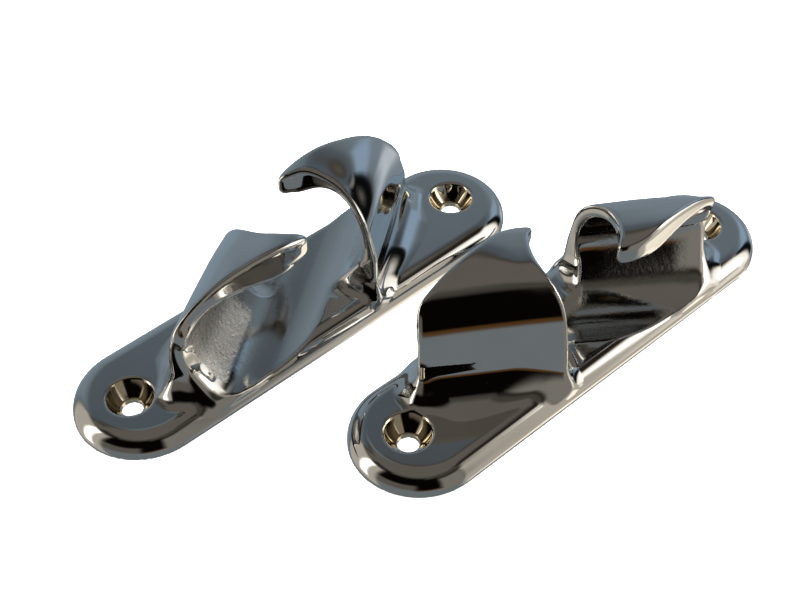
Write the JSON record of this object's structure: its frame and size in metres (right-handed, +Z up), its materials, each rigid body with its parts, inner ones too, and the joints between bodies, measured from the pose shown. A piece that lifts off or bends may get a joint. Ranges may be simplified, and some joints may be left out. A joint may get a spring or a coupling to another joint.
{
  "type": "bow chock pair",
  "caption": "Mirror pair of angled bow chocks, chrome-plated castings: oblong base plate, countersunk screw holes and two hooked horns over a slanted rope channel.",
  "frame": {"origin": "under the middle of the pair's bounding box, on the plane that both base plates stand on", "axes": "+X along the long axes of both base plates, +Y from the starboard chock to the port one, +Z up from the deck"},
  "size_m": [0.1516, 0.0748, 0.0325],
  "materials": {
    "chrome_plate": "polished chrome plate, with the cast grain left in the rope channels"
  },
  "bodies": {
    "root": {"port_bow_chock": "chrome_plate", "starboard_bow_chock": "chrome_plate"}
  },
  "joints": []
}
